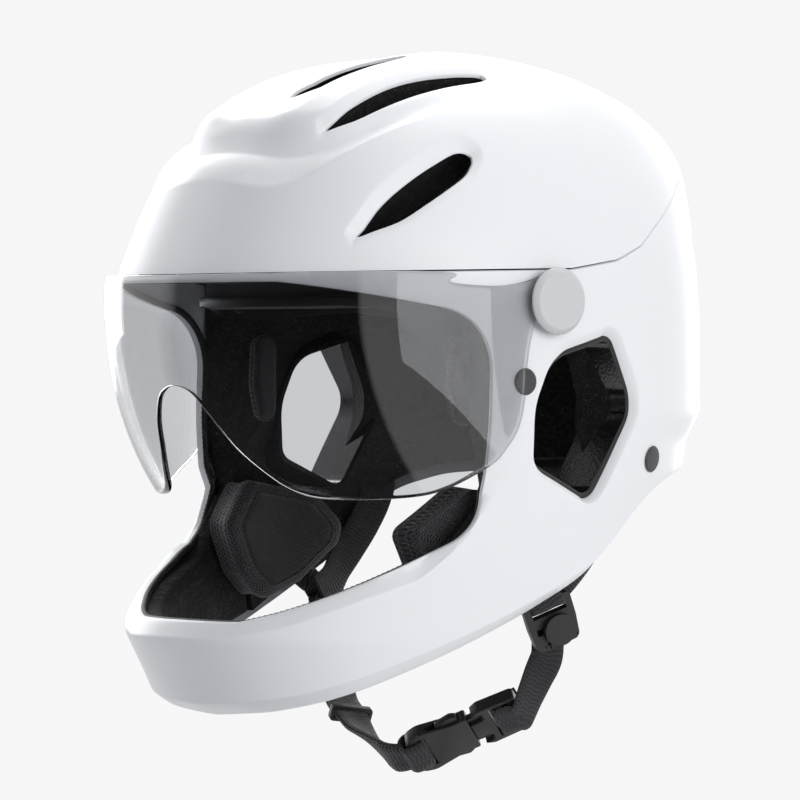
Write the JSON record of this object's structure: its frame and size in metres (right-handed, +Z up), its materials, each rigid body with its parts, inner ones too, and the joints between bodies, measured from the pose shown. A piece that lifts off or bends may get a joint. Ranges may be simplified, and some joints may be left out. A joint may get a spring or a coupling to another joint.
{
  "type": "full-face bicycle helmet",
  "caption": "Full-face bicycle helmet with chin bar, ear openings, crown vents, swing-up clear visor, padded foam liner, dial-fitted head band and buckled chin strap.",
  "frame": {"origin": "middle of the head cavity at the height of the ear openings", "axes": "+Z up, -Y to the front, +X to the wearer's left"},
  "size_m": [0.231, 0.2636, 0.3109],
  "materials": {
    "shell": "satin white",
    "knob": "satin light grey",
    "foam": "rough black moulded foam",
    "cloth": "black knitted cloth over foam",
    "clear": "clear, lightly smoked",
    "rubber": "matte black",
    "gloss_trim": "glossy black",
    "webbing": "black woven webbing",
    "black_plastic": "fine-grained black"
  },
  "bodies": {
    "helmet": {"upper_shell": "shell", "lower_shell": "shell", "crown_liner": "foam", "lower_liner": "foam", "chin_liner": "foam", "eye_port_trim": "rubber", "ear_ring_left": "gloss_trim", "ear_ring_right": "gloss_trim", "brow_pad": "cloth", "crown_pad": "cloth", "nape_pad": "cloth", "side_pad_left": "cloth", "side_pad_right": "cloth", "cheek_pad_left": "cloth", "cheek_pad_right": "cloth", "visor_boss_left": "black_plastic", "visor_boss_right": "black_plastic", "front_anchors": "black_plastic", "rear_anchors": "black_plastic", "front_strap_left": "webbing", "front_strap_right": "webbing", "rear_strap_left": "webbing", "rear_strap_right": "webbing", "divider_left": "black_plastic", "divider_right": "black_plastic", "chin_strap_left": "webbing", "chin_strap_right": "webbing", "strap_keeper": "rubber", "buckle_socket": "black_plastic", "buckle_plug": "black_plastic", "front_band": "black_plastic", "band_rivets": "black_plastic", "belt_left": "black_plastic", "belt_right": "black_plastic", "nape_cradle": "black_plastic", "dial_housing": "black_plastic", "dial_cover": "black_plastic"},
    "visor": {"visor": "clear"},
    "knob_left": {"visor_knob_left": "knob"},
    "knob_right": {"visor_knob_right": "knob"},
    "lock_left": {"divider_lock_left": "black_plastic"},
    "lock_right": {"divider_lock_right": "black_plastic"},
    "dial": {"fit_dial": "black_plastic", "dial_pinion": "black_plastic"},
    "rack_left": {"rack_left": "black_plastic"},
    "rack_right": {"rack_right": "black_plastic"},
    "prong_upper": {"buckle_prong_upper": "black_plastic"},
    "prong_lower": {"buckle_prong_lower": "black_plastic"}
  },
  "joints": [
    {"name": "visor_hinge", "type": "hinge", "parent": "helmet", "child": "visor", "pos_m": [0, -0.012, 0.048], "axis": [-1, 0, 0], "range_deg": [0, 45]},
    {"name": "knob_left_turn", "type": "hinge", "parent": "helmet", "child": "knob_left", "pos_m": [0.112, -0.012, 0.048], "axis": [1, 0, 0], "range_deg": [0, 90]},
    {"name": "knob_right_turn", "type": "hinge", "parent": "helmet", "child": "knob_right", "pos_m": [-0.112, -0.012, 0.048], "axis": [-1, 0, 0], "range_deg": [0, 90]},
    {"name": "lock_left_flip", "type": "hinge", "parent": "helmet", "child": "lock_left", "pos_m": [0.07787, 0.01632, -0.09668], "axis": [0.3427, 0.8663, 0.3635], "range_deg": [0, 80]},
    {"name": "lock_right_flip", "type": "hinge", "parent": "helmet", "child": "lock_right", "pos_m": [-0.07787, 0.01632, -0.09668], "axis": [0.3427, -0.8663, -0.3635], "range_deg": [0, 80]},
    {"name": "fit_dial_turn", "type": "hinge", "parent": "helmet", "child": "dial", "pos_m": [0, 0.093, -0.038], "axis": [0, -1, 0], "range_deg": [0, 100]},
    {"name": "rack_left_slide", "type": "slide", "parent": "helmet", "child": "rack_left", "axis": [-1, 0, 0], "range_m": [0, 0.008]},
    {"name": "rack_right_slide", "type": "slide", "parent": "helmet", "child": "rack_right", "axis": [1, 0, 0], "range_m": [0, 0.008]},
    {"name": "prong_upper_squeeze", "type": "hinge", "parent": "helmet", "child": "prong_upper", "pos_m": [0.05187, -0.00925, -0.1279], "axis": [0.698, -0.3757, -0.6097], "range_deg": [0, 6], "stiffness_Nm_per_rad": 0.2},
    {"name": "prong_lower_squeeze", "type": "hinge", "parent": "helmet", "child": "prong_lower", "pos_m": [0.04896, -0.00076, -0.13646], "axis": [-0.698, 0.3757, 0.6097], "range_deg": [0, 6], "stiffness_Nm_per_rad": 0.2}
  ],
  "couplings": [
    {"joint": "rack_left_slide", "follows": "fit_dial_turn", "m_per_rad": 0.0045},
    {"joint": "rack_right_slide", "follows": "fit_dial_turn", "m_per_rad": 0.0045}
  ]
}
